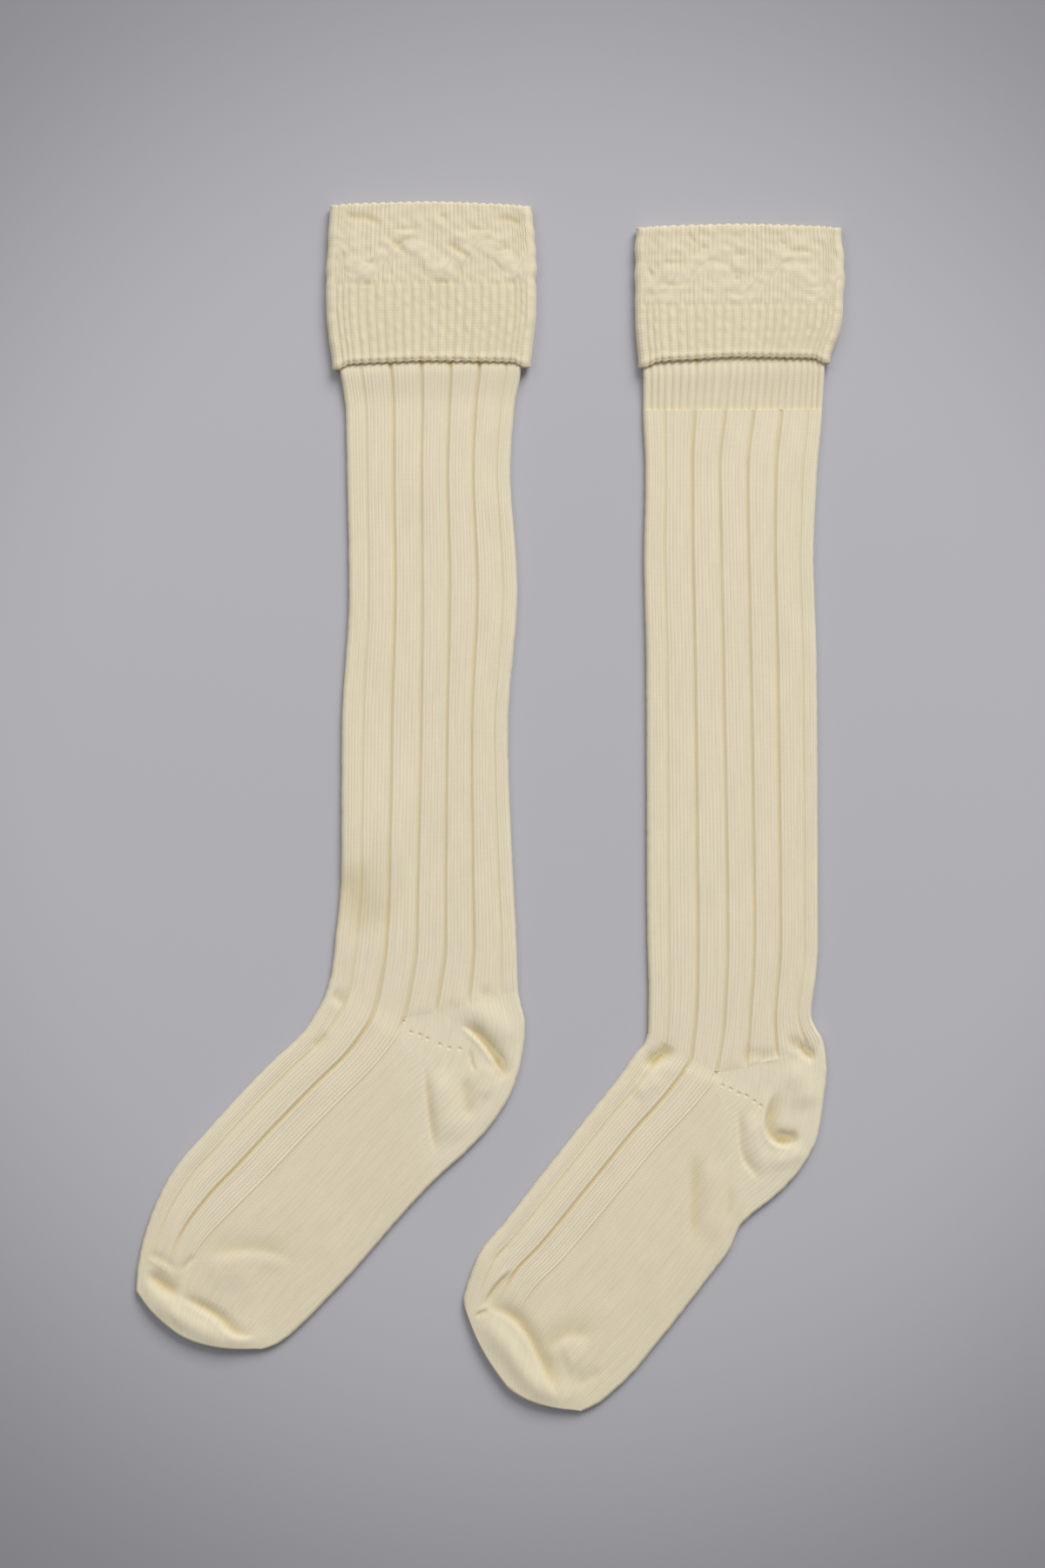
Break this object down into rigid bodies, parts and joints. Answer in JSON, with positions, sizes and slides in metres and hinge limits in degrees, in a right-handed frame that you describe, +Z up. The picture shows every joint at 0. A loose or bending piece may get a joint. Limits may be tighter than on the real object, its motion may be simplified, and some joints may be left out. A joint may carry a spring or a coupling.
{
  "type": "pair of knee-high ribbed socks with turn-over cuffs",
  "caption": "Pair of cream knitted knee socks with ribbed legs and turned-over cuffs with a raised wavy band, laid flat side by side.",
  "frame": {"origin": "middle of the pair's footprint, on the surface that it lies on", "axes": "+Y from the toes to the cuffs, +X to the right as seen from above with the cuffs away, +Z up from the surface"},
  "size_m": [0.3746, 0.6392, 0.011],
  "materials": {
    "cuff_rib": "cream wool, fine 1x1 rib",
    "leg_rib": "cream wool, wide flat rib",
    "plain_knit": "cream wool, plain knit"
  },
  "bodies": {
    "root": {"left_cuff": "cuff_rib", "left_leg": "leg_rib", "left_heel": "plain_knit", "left_foot": "leg_rib", "left_toe": "plain_knit", "right_cuff": "cuff_rib", "right_band": "cuff_rib", "right_leg": "leg_rib", "right_heel": "plain_knit", "right_foot": "leg_rib", "right_toe": "plain_knit"}
  },
  "joints": []
}
